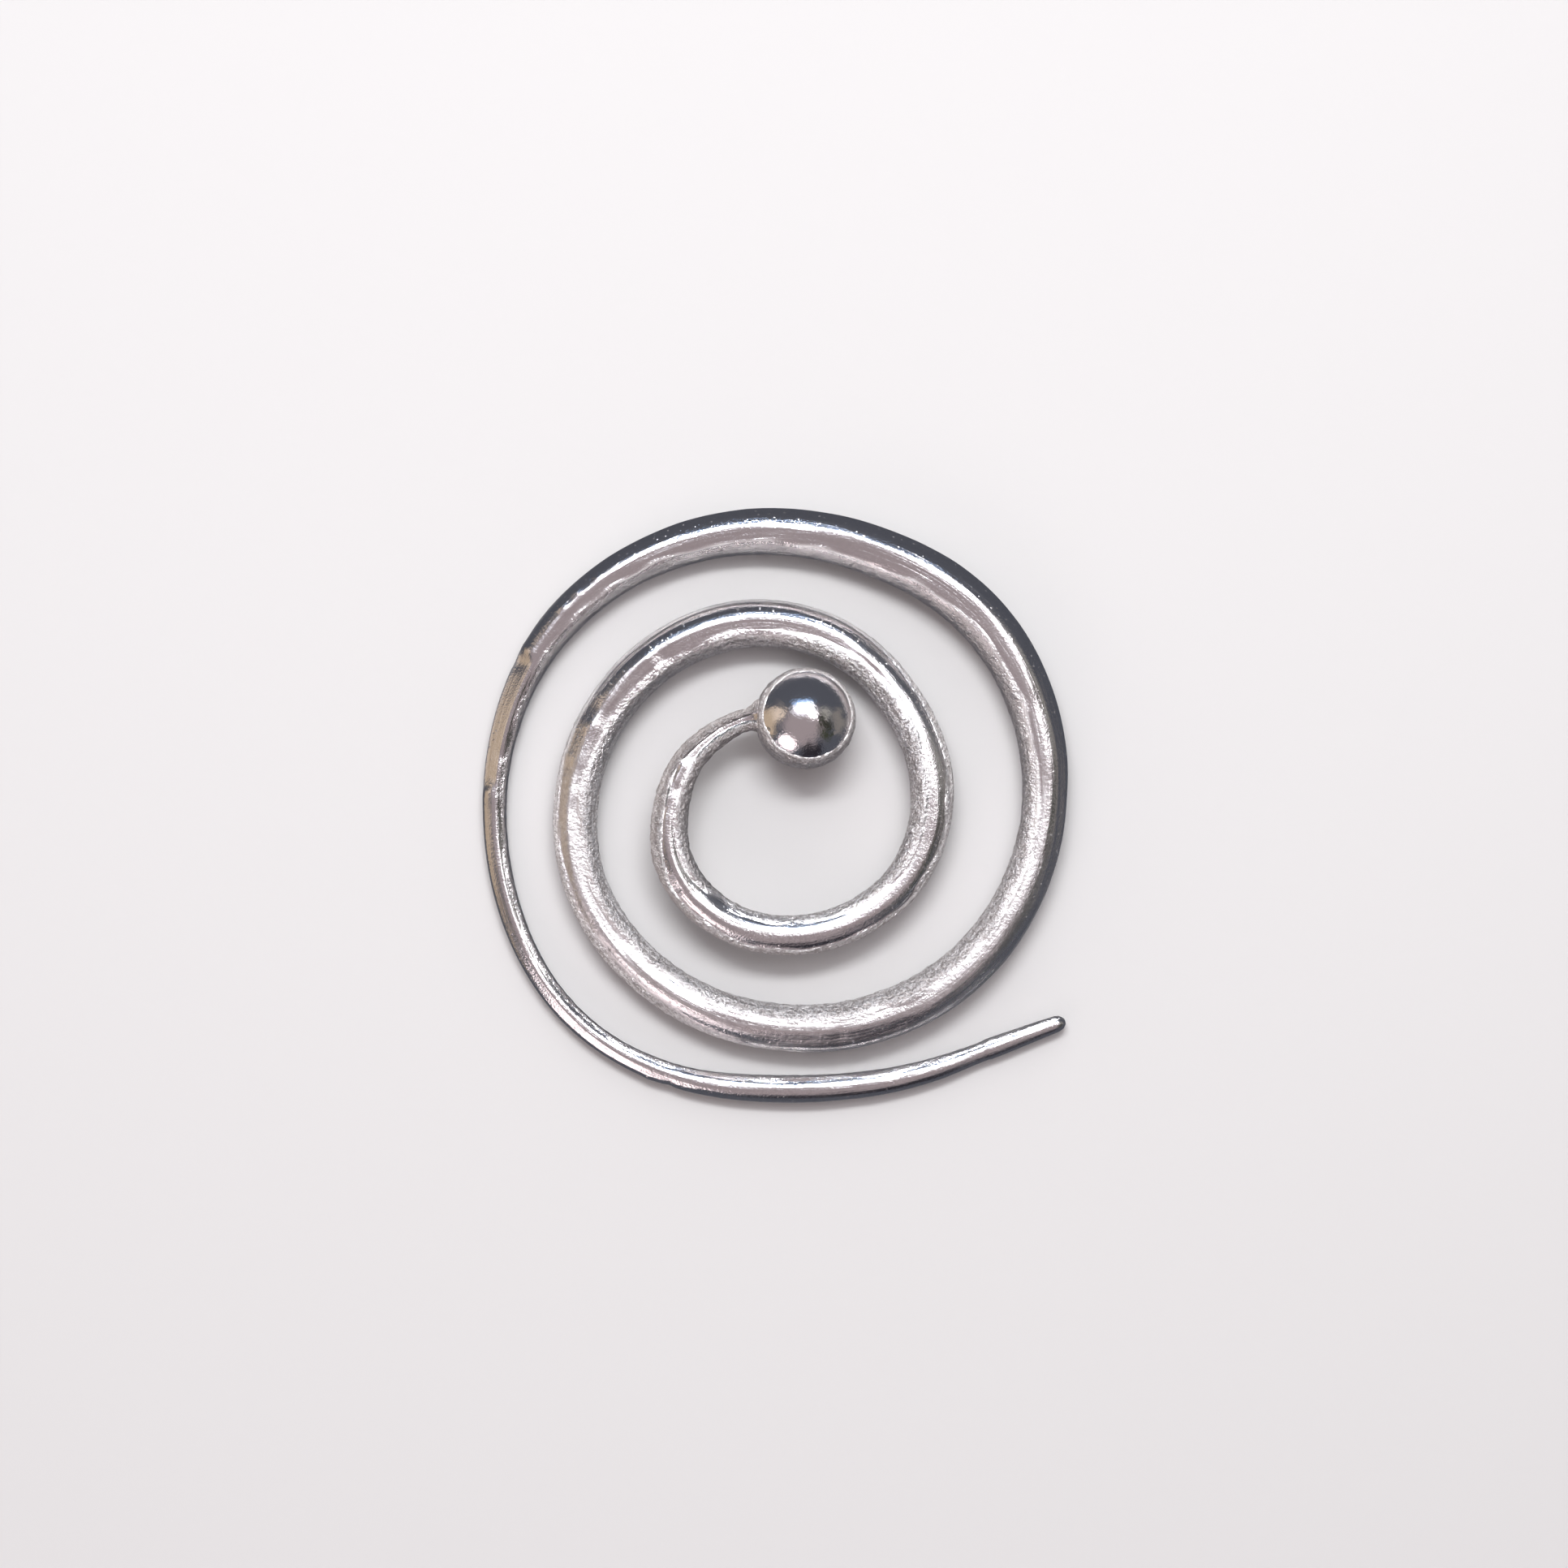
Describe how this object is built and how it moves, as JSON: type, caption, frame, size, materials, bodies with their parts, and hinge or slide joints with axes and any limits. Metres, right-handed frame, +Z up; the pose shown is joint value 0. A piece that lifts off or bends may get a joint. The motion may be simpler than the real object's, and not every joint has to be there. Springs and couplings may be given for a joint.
{
  "type": "spiral ear cuff",
  "caption": "Flat spiral of silver wire for the ear, thick in its coil and thin at both ends, with a soldered ball on the inner end and a straight pin on the outer end.",
  "frame": {"origin": "on the ground that the cuff lies on, under the middle of its outline's box", "axes": "+Z up, across the flat of the spiral; +Y from the pin's side of the coil to the far side of the outer turn; +X to the side that the pin points to"},
  "size_m": [0.0296, 0.03, 0.005],
  "materials": {
    "silver": "cast silver, polished along the crown and on the ball and left grained on its flanks"
  },
  "bodies": {
    "root": {"spiral_cuff": "silver"}
  },
  "joints": []
}
